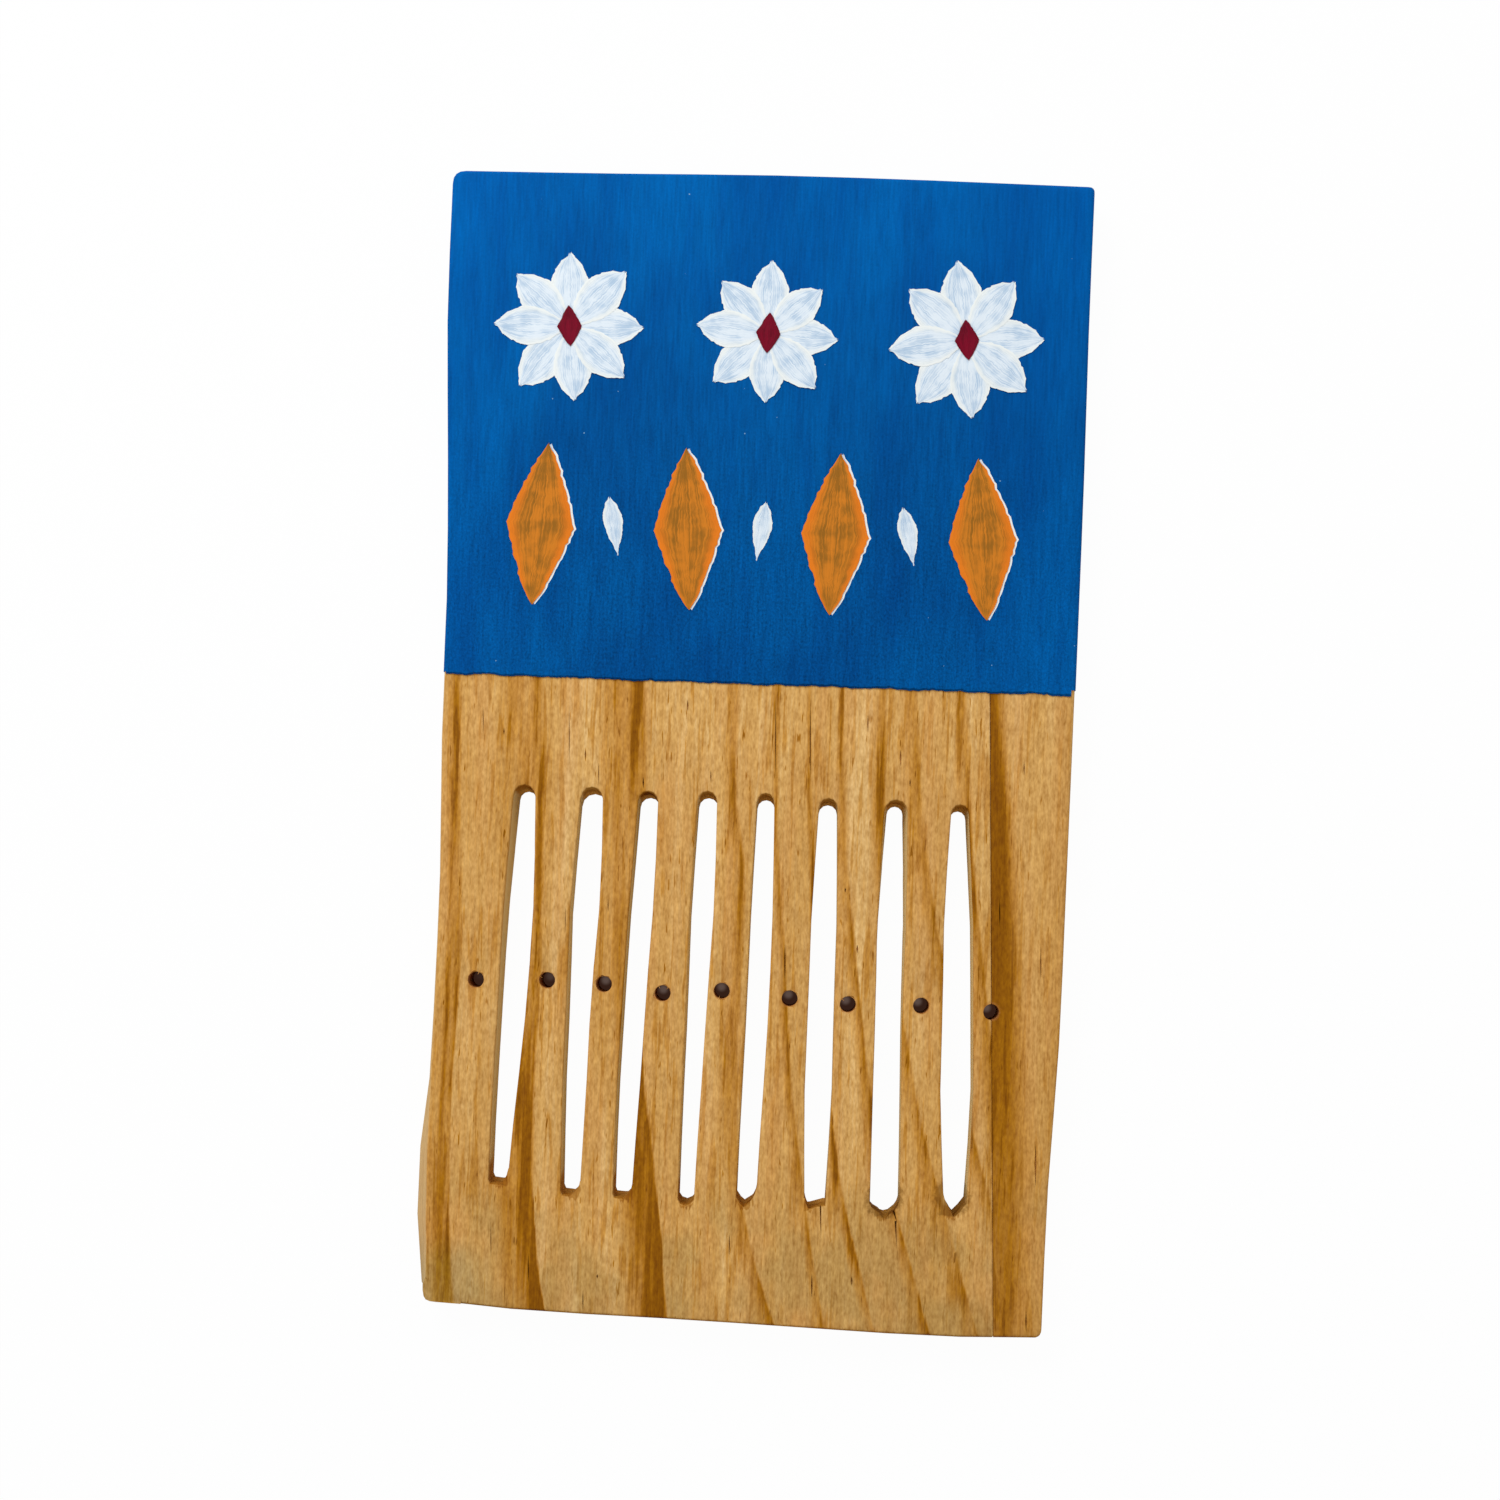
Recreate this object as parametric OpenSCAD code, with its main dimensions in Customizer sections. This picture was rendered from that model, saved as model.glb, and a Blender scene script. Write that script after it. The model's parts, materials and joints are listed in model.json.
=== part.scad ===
// Band heddle: a thin softwood board, slotted and drilled for a narrow warp, with a painted upper end.
// It lies on its back. X runs across the board, Y up its length and Z out of its painted face.
// The real one is cut and filed by hand, so each side, slot and eye has its own small departure from true.

/* [Board] */
// Width across the upper end
top_width = 100; // [92:0.5:110]
// Width across the lower end
foot_width = 96.4; // [88:0.2:100]
// Length down the right edge
board_length = 179.4; // [170:0.2:190]
// How far the upper left corner sits below the upper right one
head_drop = 1; // [0:0.1:3]
// How far the lower left corner sits above the lower right one
foot_rise = 2.3; // [0:0.1:4]
// Thickness of the wood
thickness = 6.5; // [5:0.1:9]
// Rounding of the long and short edges
edge_r = 0.6; // [0.3:0.1:1]
// Rounding of the upper left corner, worn more than the others
worn_corner_r = 2; // [1:0.1:4]
// Rounding of the lower left corner
foot_corner_r = 1.7; // [0.5:0.1:3]
// Rounding of the two corners on the right
corner_r = 0.9; // [0.5:0.1:2]

/* [Slanted saw cut at the lower left] */
// How far the back edge stands out past the front one where the cut slants most
slant_out = 2.5; // [0:0.1:4]
// How far it still stands out at the lower end
slant_foot = 1.4; // [0:0.1:2]
// Height above the lower end of the place where it slants most
slant_height = 15; // [5:1:25]
// Height above the lower end at which the cut is square again
slant_end = 50; // [35:1:70]

/* [Glued strip on the right] */
// Width of the strip at the upper end
strip_head = 16.6; // [12:0.1:20]
// Width of the strip at the lower end
strip_foot = 7.5; // [6:0.1:9]

/* [Slots] */
// Number of slots
slot_count = 8; // [4:1:8]
// Distance between neighbouring slots
slot_pitch = 9.6; // [8.5:0.1:10]
// Where the middle of the row of slots is, across the board
row_x = -1.4; // [-3:0.1:1]
// Distance from the board's lower end up to the slots
slot_margin = 18.7; // [12:0.1:26]
// Length of a slot
slot_length = 64; // [50:0.5:70]
// How much wider or narrower than in this board the slots are filed
slot_ease = 0; // [-0.5:0.1:0.8]
// How much lower a slot's upper end is at the back than at the front
slot_head_slope = 0.8; // [0:0.1:1.5]
// How much higher a slot's lower end is at the back than at the front
slot_foot_slope = 0.3; // [0:0.1:1]

/* [Eyes] */
// Radius of the drilled eyes
eye_r = 1.25; // [1:0.05:1.8]
// How far the row of eyes lies above the middle of the slots
eye_lift = 0.8; // [-8:0.1:8]
// Distance from an outer slot to the eye beyond it
eye_outer_step = 5.6; // [5:0.1:6.5]

/* [Paint] */
// Length of the painted end, down the left edge
paint_left = 79.7; // [72:0.1:84]
// Length of the painted end, down the right edge
paint_right = 79.1; // [72:0.1:84]
// Thickness of the blue coat
coat_t = 0.15; // [0.1:0.05:0.3]
// Thickness of the brushed ornament
brush_t = 0.15; // [0.1:0.05:0.3]

/* [Brushed ornament] */
// Number of white stars in the row
star_count = 3; // [1:1:3]
// Distance between neighbouring stars
star_pitch = 31; // [26:0.5:33]
// Distance from the board's upper end down to the middle of the row of stars
star_drop = 24.7; // [18:0.1:30]
// Distance from a star's middle to its points
star_r = 12; // [8:0.5:13]
// Width of a star's rays
ray_width = 6.4; // [4:0.2:7]
// Height of a star's dark red heart
heart_height = 6; // [3:0.2:8]
// Number of orange lozenges in the row
lozenge_count = 4; // [2:1:4]
// Distance between neighbouring lozenges
lozenge_pitch = 23; // [20:0.5:25]
// Distance from the board's upper end down to the middle of the row of lozenges
lozenge_drop = 55.7; // [52:0.1:60]
// Height of a lozenge
lozenge_height = 25; // [16:0.5:30]
// Width of a lozenge
lozenge_width = 10.5; // [6:0.5:12]
// Height of the small white drops between the lozenges
drop_height = 9; // [5:0.5:12]
// Width of the small white drops
drop_width = 3; // [2:0.2:4]

/* [Hidden] */

// Corners of the board, clockwise from the upper left one, before they are rounded
head_y = board_length / 2;
corners = [
    [-top_width / 2, head_y - head_drop],
    [top_width / 2, head_y],
    [foot_width / 2, -head_y],
    [-foot_width / 2, -head_y + foot_rise]
];
corner_radii = [worn_corner_r, corner_r, corner_r, foot_corner_r];
// How far each side swells out of a straight line, at even steps clockwise along it
swells = [
    [0, 0.2, 0.55, 0.4, 0],
    [0, 0.1, 0.4, 0.55, 0.65, 0.7, 0.7, 0, 0],
    [0.4, 1, 1.15, 1.05, 0.95, 0.9, 0.95, 0.8, 0.2],
    [0, 0.25, -0.15, -0.6, -0.35, -0.7, -0.3, 0.3, 0]
];
// Straight runs along each side, and steps round each corner and edge
side_steps = [8, 16, 8, 16];
corner_steps = 4;
edge_steps = 3;
face_overrun = 1.6;
// The long left side is the one with the slanted saw cut
slant_side = 3;

// Heights of the slots' upper ends and the eyes, and of the paint's border and the ornament, from mid-length
slot_head_y = slot_margin + slot_length - head_y;
eye_y = slot_head_y - slot_length / 2 + eye_lift;
paint_left_y = head_y - paint_left;
paint_right_y = head_y - paint_right;
star_y = head_y - star_drop;
lozenge_y = head_y - lozenge_drop;

// How far each slot lies from its even place, at its upper end, middle and lower end
slot_drift = [
    [-0.5, -1.15, -2.45],
    [0.45, -0.45, -0.75],
    [-0.35, -1.4, -2.2],
    [-0.7, -1.25, -1.85],
    [-1.2, -1.35, -2.05],
    [-1, -1, -0.9],
    [0, 0, 0.4],
    [0.4, 1.15, 1.75]
];
// Width of each slot at even steps down it
slot_widths = [
    [3.5, 4.6, 4.5, 3.85, 3],
    [3.4, 4.5, 3.8, 3.65, 3],
    [3.1, 3.75, 3.6, 3.5, 2.9],
    [3, 3.7, 3.2, 2.9, 2.5],
    [2.7, 3.4, 3.5, 3.35, 3.1],
    [2.9, 3.95, 4.05, 4.25, 3.2],
    [3.7, 4.5, 4.2, 4.45, 4.6],
    [2.8, 4.45, 4.75, 5.1, 3.5]
];
// How much each slot's upper end and lower end are above their even height
slot_head_rise = [0.3, 0.3, 0, 0.3, 0.3, -0.15, 0, -0.4];
slot_foot_rise = [1.85, 0.45, 0.4, -0.4, -0.3, -0.4, -1.2, -0.7];
// How much wider each slot's upper half is filed at the front than at the back, on either side
slot_draft = [0.4, -0.3, 0, 0, 0, 0, 0.6, 0.15];
// The lowest point of each slot: how far across the slot it lies, and how deep
slot_tip_across = [0.55, 0.6, 0.5, 0.5, 0.4, 0.3, 0.5, 0.48];
slot_tip_depth = [0.8, 0.9, 0.5, 1.5, 2.9, 0.9, 2.2, 4.8];
// How square each slot's lower end is on the left and on the right, and how much it rises to the right
slot_foot_square = [[0.8, 0.7], [0.8, 0.85], [0.85, 0.9], [0.65, 0.6], [0.6, 0.5], [0.9, 0.85], [0.65, 0.7], [0.5, 0.5]];
slot_foot_slant = [0, 0, 0, 0.1, 0.2, 0.8, 0.1, 0];
// Steps down the wall of a slot and round its upper end, and how far its cutter stands out of the board
wall_steps = 7;
arch_steps = 3;
cut_over = 1;

// How far each eye lies from its even place
eye_drift_x = [-0.25, 0.1, -0.5, -0.5, -0.9, 0, -1.15, -0.4, -0.4];
eye_drift_y = [0.9, 1.2, 0.9, -0.2, 0.5, -0.3, -0.9, -0.7, -1.3];
eye_facets = 48;

// The paint's border wanders by this much, in this many steps
border_wander = 0.15;
border_steps = 24;

// Small turns and changes of size that the hand gives to the ornament
star_turn = [4, -3, 6];
star_scale = [1, 0.94, 1.03];
lozenge_turn = [-4, 3, -2, 5];
drop_turn = [10, -8, 12];
ray_count = 8;
ray_waist = 0.56;
heart_share = 0.62;
lozenge_bulge = 0.08;
lozenge_steps = 6;

function lerp(a, b, t) = a + (b - a) * t;
function unit(v) = v / norm(v);
// A smooth curve through evenly spaced values
function spline(v, t) =
    let (n = len(v) - 1,
         k = max(min(floor(t * n), n - 1), 0),
         u = t * n - k,
         a = v[max(k - 1, 0)],
         b = v[k],
         c = v[k + 1],
         d = v[min(k + 2, n)])
    b + u / 2 * (c - a + u * (2 * a - 5 * b + 4 * c - d + u * (3 * b - a - 3 * c + d)));

// Outward normal and length of a side
function along(k) = corners[(k + 1) % 4] - corners[k];
function normal(k) = let (u = unit(along(k))) [-u[1], u[0]];
// A corner, with both of its sides moved inwards
function inner_corner(k, inset) =
    let (m = normal((k + 3) % 4), n = normal(k), c = m * n)
    corners[k] - (m + n) * inset / (1 + c);
// How far the slanted cut stands out at the back, at a height above the lower end
function slant(s) =
    s < slant_height ? lerp(slant_foot, slant_out, sin(90 * s / slant_height))
    : s < slant_end ? slant_out * (1 + cos(180 * (s - slant_height) / (slant_end - slant_height))) / 2
    : 0;
// A point on a side, at a share of its length, an inset and a height above the back
function side_point(k, t, inset, z) =
    let (a = inner_corner(k, inset),
         b = inner_corner((k + 1) % 4, inset),
         out = spline(swells[k], t),
         slanted = k == slant_side ? slant(t * norm(along(k))) * (1 - z / thickness) : 0)
    lerp(a, b, t) + normal(k) * (out + slanted);
function start_share(k) = corner_radii[k] / norm(along(k));
function end_share(k) = 1 - corner_radii[(k + 1) % 4] / norm(along(k));
// The rounding from the end of one side to the start of the next
function corner_point(k, u, inset, z) =
    let (n = (k + 1) % 4,
         a = side_point(k, end_share(k), inset, z),
         c = side_point(n, start_share(n), inset, z),
         b = (side_point(k, 1, inset, z) + side_point(n, 0, inset, z)) / 2)
    lerp(lerp(a, b, u), lerp(b, c, u), u);
// The outline starts at the middle of the upper side
function outline(inset, z) =
    let (ring = [
             for (k = [0 : 3])
                 each concat(
                     [for (i = [0 : side_steps[k]])
                         side_point(k, lerp(start_share(k), end_share(k), i / side_steps[k]), inset, z)],
                     [for (j = [1 : corner_steps - 1]) corner_point(k, j / corner_steps, inset, z)]
                 )
         ])
    [for (i = [0 : len(ring) - 1]) ring[(i + side_steps[0] / 2) % len(ring)]];

// Middle of the board's outline, front and back, which is where the part has its origin
reach = concat(outline(0, 0), outline(0, thickness));
reach_x = [for (p = reach) p[0]];
reach_y = [for (p = reach) p[1]];
middle = [(min(reach_x) + max(reach_x)) / 2, (min(reach_y) + max(reach_y)) / 2];

// A level of the rounded edge, as [inset, height over the side's end], at an angle up from the side
function edge_level(a, grow) = [edge_r - (edge_r + grow) * cos(a), (edge_r + grow) * sin(a)];
// The last level runs on past the face, in line with the one before it, so that the face trims it
function edge_levels(grow) =
    let (near = edge_level(90 - 90 / edge_steps, grow), face = edge_level(90, grow))
    concat([for (j = [0 : edge_steps - 1]) edge_level(90 * j / edge_steps, grow)],
           [near + (face - near) * face_overrun]);
function levels(grow) =
    let (edge = edge_levels(grow))
    concat([for (j = [edge_steps : -1 : 0]) [edge[j][0], edge_r - edge[j][1]]],
           [for (j = [0 : edge_steps]) [edge[j][0], thickness - edge_r + edge[j][1]]]);

// A closed skin through rings with equally many points, the lowest ring first and each ring clockwise.
// Each ring starts at the middle of its upper end, so the points of its two sides face each other in pairs.
module skin(rings) {
    n = len(rings[0]);
    last = (len(rings) - 1) * n;
    points = [for (r = rings) each r];
    sides = [
        for (j = [0 : len(rings) - 2])
            for (i = [0 : n - 1])
                let (a = j * n + i, b = j * n + (i + 1) % n)
                each [[a, b + n, a + n], [a, b, b + n]]
    ];
    ladder = concat([[0, 1, n - 1]], [for (i = [1 : n / 2 - 1])
        each (i + 1 == n / 2 ? [[i, i + 1, n - i]] : [[i, i + 1, n - i], [i + 1, n - i - 1, n - i]])]);
    back = [for (t = ladder) [t[2], t[1], t[0]]];
    front = [for (t = ladder) [t[0] + last, t[1] + last, t[2] + last]];
    polyhedron(points, concat(sides, back, front));
}

// The whole board with its rounded edges, or a body that stands out from it on every side
module blank(grow = 0) {
    intersection() {
        skin([
            for (level = levels(grow))
                let (z = min(max(level[1], 0), thickness))
                [for (p = outline(level[0], z)) [p[0], p[1], level[1]]]
        ]);
        translate([-top_width, -board_length, -grow])
            cube([2 * top_width, 2 * board_length, thickness + 2 * grow]);
    }
}

// The side of the glue line that the narrow strip is on
module strip_side() {
    head = corners[1] - [strip_head, 0];
    foot = corners[2] - [strip_foot, 0];
    run = (head - foot) / (head[1] - foot[1]) * board_length;
    far = [top_width, 0];
    translate([0, 0, -cut_over])
        linear_extrude(thickness + 2 * cut_over)
            polygon([foot - run, foot - run + far, head + run + far, head + run]);
}

function slot_base_x(i) = row_x + (i - (slot_count - 1) / 2) * slot_pitch;
function slot_x(i, t) = slot_base_x(i) + spline(slot_drift[i], t);
function slot_top(i) = slot_head_y + slot_head_rise[i];
function slot_foot(i) = slot_head_y - slot_length + slot_foot_rise[i];
// Outline of a slot, clockwise from the top of its upper end, at a share of the thickness above the back
function slot_outline(i, share) =
    let (top = slot_top(i) - slot_head_slope * (1 - share),
         foot = slot_foot(i) + slot_foot_slope * (1 - share),
         half = function(t) (spline(slot_widths[i], t) + slot_ease) / 2
             - slot_draft[i] * (1 - share) * max(1 - 2 * t, 0),
         arch = half(0),
         spring = top - arch,
         ledge = (half(1) + slot_tip_depth[i]) / 3,
         tip = 2 * slot_tip_across[i] - 1,
         foot_point = function(across, up)
             [slot_x(i, 1) + across * half(1), foot + up * ledge + slot_foot_slant[i] * (across + 1) / 2],
         wall = function(side) concat(
             [for (j = [1 : arch_steps])
                 let (a = 90 - 90 * j / arch_steps)
                 [slot_x(i, 0) + side * arch * cos(a), spring + arch * sin(a)]],
             [for (j = [1 : wall_steps])
                 let (t = j / wall_steps)
                 [slot_x(i, t) + side * half(t), lerp(spring, foot + ledge, t)]],
             let (square = slot_foot_square[i][(side + 1) / 2])
             [foot_point(side * square, (1 - square) * 0.9)]),
         left = wall(-1))
    concat(
        [[slot_x(i, 0), top]],
        wall(1),
        [foot_point(tip, 0)],
        [for (j = [len(left) - 1 : -1 : 0]) left[j]]
    );
module slot(i) {
    skin([
        for (z = [-cut_over, thickness + cut_over])
            [for (p = slot_outline(i, z / thickness)) [p[0], p[1], z]]
    ]);
}

// Eyes lie between neighbouring slots, and one lies beyond each outer slot
function eye_x(i) =
    eye_drift_x[i] + (i == 0 ? slot_x(0, 0.5) - eye_outer_step
    : i == slot_count ? slot_x(i - 1, 0.5) + eye_outer_step
    : (slot_x(i - 1, 0.5) + slot_x(i, 0.5)) / 2);
module eyes() {
    for (i = [0 : slot_count])
        translate([eye_x(i), eye_y + eye_drift_y[i], -cut_over])
            cylinder(r = eye_r, h = thickness + 2 * cut_over, $fn = eye_facets);
}

// The wide plank, with all the slots and its share of the outermost eye
module main_board() {
    color("burlywood")
        translate([-middle[0], -middle[1], 0])
            difference() {
                blank();
                strip_side();
                for (i = [0 : slot_count - 1]) slot(i);
                eyes();
            }
}

// The narrow strip glued along the right edge, with the other share of the outermost eye
module side_strip() {
    color("peru")
        translate([-middle[0], -middle[1], 0])
            difference() {
                intersection() {
                    blank();
                    strip_side();
                }
                eyes();
            }
}

// Everything above the paint's border, from the rounding of the back edge up
module painted_end() {
    over = top_width;
    border = [
        for (j = [0 : border_steps])
            let (u = j / border_steps)
            [lerp(-top_width / 2, top_width / 2, u),
             lerp(paint_left_y, paint_right_y, u) + border_wander * sin(1500 * u) * cos(640 * u)]
    ];
    translate([0, 0, edge_r])
        linear_extrude(thickness + coat_t)
            polygon(concat([[-over, paint_left_y]], border, [[over, paint_right_y], [over, over], [-over, over]]));
}

// The coat of blue paint over the front, the ends of the long edges and the upper end
module blue_coat() {
    color("royalblue")
        translate([-middle[0], -middle[1], 0])
            difference() {
                intersection() {
                    blank(coat_t);
                    painted_end();
                }
                blank();
            }
}

// A star of narrow rays
module star(r, width) {
    for (k = [0 : ray_count - 1])
        rotate(360 / ray_count * k)
            polygon([[0, 0], [-width / 2, r * ray_waist], [0, r], [width / 2, r * ray_waist]]);
}
// A lozenge with slightly swollen sides
module lozenge(height, width) {
    side = [
        for (j = [0 : lozenge_steps])
            let (u = j / lozenge_steps)
            [lerp(width / 2, 0, u) + lozenge_bulge * height * sin(180 * u) / 2, height / 2 * u]
    ];
    right = concat([for (j = [lozenge_steps : -1 : 1]) [side[j][0], -side[j][1]]], side);
    left = [for (j = [len(right) - 2 : -1 : 1]) [-right[j][0], right[j][1]]];
    polygon(concat(right, left));
}
function row_place(i, count, pitch) = (i - (count - 1) / 2) * pitch;

// Brushwork that lies on the coat, or on brushwork below it
module brushed(layer) {
    translate([-middle[0], -middle[1], thickness + coat_t + layer * brush_t])
        linear_extrude(brush_t)
            children();
}

// White stars in a row, and a small drop between each two lozenges
module white_brushwork() {
    color("white")
        brushed(0) {
            for (i = [0 : star_count - 1])
                translate([row_place(i, star_count, star_pitch), star_y])
                    rotate(star_turn[i])
                        star(star_r * star_scale[i], ray_width);
            for (i = [0 : lozenge_count - 2])
                translate([row_place(i, lozenge_count - 1, lozenge_pitch), lozenge_y])
                    rotate(drop_turn[i])
                        lozenge(drop_height, drop_width);
        }
}

// A dark red lozenge on the middle of each star
module red_brushwork() {
    color("darkred")
        brushed(1)
            for (i = [0 : star_count - 1])
                translate([row_place(i, star_count, star_pitch), star_y])
                    rotate(star_turn[i])
                        lozenge(heart_height, heart_height * heart_share);
}

// Tall orange lozenges in a row
module orange_brushwork() {
    color("darkorange")
        brushed(0)
            for (i = [0 : lozenge_count - 1])
                translate([row_place(i, lozenge_count, lozenge_pitch), lozenge_y])
                    rotate(lozenge_turn[i])
                        lozenge(lozenge_height, lozenge_width);
}

main_board();
side_strip();
blue_coat();
white_brushwork();
red_brushwork();
orange_brushwork();
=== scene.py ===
import json
import math
import random

import bmesh
import bpy
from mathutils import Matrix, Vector, noise

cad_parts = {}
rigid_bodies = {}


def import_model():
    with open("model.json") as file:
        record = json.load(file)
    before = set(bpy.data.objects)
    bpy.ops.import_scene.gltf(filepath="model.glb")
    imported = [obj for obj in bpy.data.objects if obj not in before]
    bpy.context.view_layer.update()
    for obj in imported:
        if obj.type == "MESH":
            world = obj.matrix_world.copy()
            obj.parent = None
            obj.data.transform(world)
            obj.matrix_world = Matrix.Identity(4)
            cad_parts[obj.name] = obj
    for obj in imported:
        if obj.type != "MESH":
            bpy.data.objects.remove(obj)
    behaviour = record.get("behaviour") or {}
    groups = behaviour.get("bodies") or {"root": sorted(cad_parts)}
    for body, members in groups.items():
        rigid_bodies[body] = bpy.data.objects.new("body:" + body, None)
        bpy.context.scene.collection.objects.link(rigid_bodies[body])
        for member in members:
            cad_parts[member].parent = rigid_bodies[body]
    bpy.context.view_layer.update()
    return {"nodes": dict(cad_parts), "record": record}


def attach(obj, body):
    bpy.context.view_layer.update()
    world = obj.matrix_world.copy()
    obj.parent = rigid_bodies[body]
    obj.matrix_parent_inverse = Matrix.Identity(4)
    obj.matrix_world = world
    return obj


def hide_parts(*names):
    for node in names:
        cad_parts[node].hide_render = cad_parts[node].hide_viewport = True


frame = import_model()


# ---- Camera ----
# The board is seen from straight above, about a forearm away. It lies a little askew in the
# picture, and the lens points at a place between the slots, below the middle of the frame.
MM = 0.001
PHOTO_WIDTH = 1500
photo_scale = 0.156 * MM
lens_pixel = (800, 890)
board_middle = Vector((0.485, 0.283)) * MM
camera_place = (8.038 * MM + board_middle.x, -21.535 * MM + board_middle.y, 367.5 * MM)
camera_roll = math.radians(2.06)
face_height = 6.5 * MM

camera_data = bpy.data.cameras.new("camera")
camera_data.sensor_width = 36
camera_data.lens = 36 * (camera_place[2] - face_height) / (PHOTO_WIDTH * photo_scale)
camera_data.shift_x = 0.5 - lens_pixel[0] / PHOTO_WIDTH
camera_data.shift_y = lens_pixel[1] / PHOTO_WIDTH - 0.5
camera = bpy.data.objects.new("camera", camera_data)
camera.location = camera_place
camera.rotation_euler = (0, 0, camera_roll)
bpy.context.scene.collection.objects.link(camera)
bpy.context.scene.camera = camera


# ---- Heddle board ----
# One length of oiled softwood, sawn by hand: eight filed slots and nine drilled eyes for the
# warp. Its growth rings run up the board and lean as they go through its thickness.
slot_feet = [(-37.1, -67.8), (-25.6, -69.1), (-17.8, -69.3), (-8.1, -70.0), (1.0, -69.9),
             (11.5, -70.0), (22.8, -70.8), (33.4, -70.3)]


def take_up(piece):
    """Leaves one piece selected and active, as when it is picked up at the bench."""
    bpy.ops.object.select_all(action="DESELECT")
    piece.select_set(True)
    bpy.context.view_layer.objects.active = piece


def blank_from(node, name):
    """A new piece from a copy of a CAD node's mesh, with its triangles joined up."""
    piece = bpy.data.objects.new(name, frame["nodes"][node].data.copy())
    piece.data.name = name
    piece.data.materials.clear()
    bpy.context.scene.collection.objects.link(piece)
    take_up(piece)
    bpy.ops.object.mode_set(mode="EDIT")
    bpy.ops.mesh.select_all(action="SELECT")
    bpy.ops.mesh.remove_doubles(threshold=0.001 * MM)
    bpy.ops.mesh.customdata_custom_splitnormals_clear()
    bpy.ops.mesh.dissolve_limited(angle_limit=math.radians(0.1))
    bpy.ops.object.mode_set(mode="OBJECT")
    return piece


def sand_edges(piece, radius, wanted):
    """Rounds the sharp edges whose two ends pass the test, as with a strip of sandpaper."""
    bpy.ops.object.mode_set(mode="EDIT")
    bpy.ops.mesh.select_mode(type="EDGE")
    bpy.ops.mesh.select_all(action="DESELECT")
    bpy.ops.mesh.edges_select_sharp(sharpness=math.radians(50))
    bpy.ops.object.mode_set(mode="OBJECT")
    points = piece.data.vertices
    for edge in piece.data.edges:
        edge.select = edge.select and all(wanted(points[i].co) for i in edge.vertices)
    bpy.ops.object.mode_set(mode="EDIT")
    bpy.ops.mesh.bevel(offset=radius, segments=3, affect="EDGES", clamp_overlap=False)
    bpy.ops.mesh.select_all(action="SELECT")
    bpy.ops.object.mode_set(mode="OBJECT")


def work_with(piece, solid, operation):
    """Cuts a solid out of a piece, or leaves it standing on the piece."""
    take_up(piece)
    step = piece.modifiers.new("step", "BOOLEAN")
    step.operation = operation
    step.object = solid
    bpy.ops.object.modifier_apply(modifier=step.name)
    bpy.data.objects.remove(solid)


def split_open(piece, start, end, width, depth):
    """Opens a tapering split in the front face, wide where it starts and closed at its end."""
    line = (Vector(end) - Vector(start)).to_3d() * MM
    middle = (Vector(end) + Vector(start)).to_3d() * MM / 2 + board_middle.to_3d()
    middle.z = face_height
    bpy.ops.mesh.primitive_cone_add(vertices=4, radius1=1, depth=2, location=middle,
                                    rotation=line.to_track_quat("Z", "Y").to_euler(),
                                    scale=(width * MM / 2, depth * MM, line.length / 2))
    work_with(piece, bpy.context.object, "DIFFERENCE")


def open_ducts(piece, ducts):
    """Opens resin ducts in the front face, thin grooves along the grain that close at both ends."""
    for x, y, length, width in ducts:
        place = (x * MM + board_middle.x, y * MM + board_middle.y, face_height)
        bpy.ops.mesh.primitive_uv_sphere_add(
            segments=4, ring_count=2, radius=MM, location=place, rotation=(0, 0, camera_roll),
            scale=(width / 2, length / 2, duct_depth))
        work_with(piece, bpy.context.object, "DIFFERENCE")


def fill_corner(piece, corners):
    """Leaves wood standing in a corner of a slot, as an upright prism of that outline."""
    bpy.ops.mesh.primitive_cylinder_add(vertices=len(corners), location=(0, 0, 0))
    prism = bpy.context.object
    for point in prism.data.vertices:
        x, y = Vector(corners[point.index // 2]) * MM + board_middle
        point.co = (x, y, face_height - 0.01 * MM if point.co.z > 0 else 0.01 * MM)
    bpy.ops.object.mode_set(mode="EDIT")
    bpy.ops.mesh.normals_make_consistent(inside=False)
    bpy.ops.object.mode_set(mode="OBJECT")
    work_with(piece, prism, "UNION")


def add_node(tree, kind, inputs=None, **settings):
    """Adds a shader node, sets its options, and fills or links its inputs."""
    made = tree.nodes.new(kind)
    for key, value in settings.items():
        setattr(made, key, value)
    for key, value in (inputs or {}).items():
        if isinstance(value, bpy.types.NodeSocket):
            tree.links.new(value, made.inputs[key])
        else:
            made.inputs[key].default_value = value
    return made


def calc(tree, operation, first, second=0.0, clamp=False):
    """One step of arithmetic on values."""
    return add_node(tree, "ShaderNodeMath", {0: first, 1: second},
                    operation=operation, use_clamp=clamp).outputs[0]


def ease(tree, value, low, high, to_low=0.0, to_high=1.0):
    """Carries a value from one range to another along a smooth curve."""
    return add_node(tree, "ShaderNodeMapRange",
                    {"Value": value, "From Min": low, "From Max": high,
                     "To Min": to_low, "To Max": to_high},
                    interpolation_type="SMOOTHSTEP").outputs["Result"]


def tint(tree, amount, first, second, blend_type="MIX"):
    """Mixes or layers two colours."""
    return add_node(tree, "ShaderNodeMix", {0: amount, 6: first, 7: second},
                    data_type="RGBA", blend_type=blend_type).outputs[2]


def stretched_noise(tree, place, scale, detail=3.0, roughness=0.5):
    """Noise drawn out by a different scale along each axis, from 0 to 1."""
    mapped = add_node(tree, "ShaderNodeMapping", {"Vector": place, "Scale": scale}).outputs[0]
    return add_node(tree, "ShaderNodeTexNoise",
                    {"Vector": mapped, "Scale": 1.0, "Detail": detail,
                     "Roughness": roughness}).outputs[0]


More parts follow.
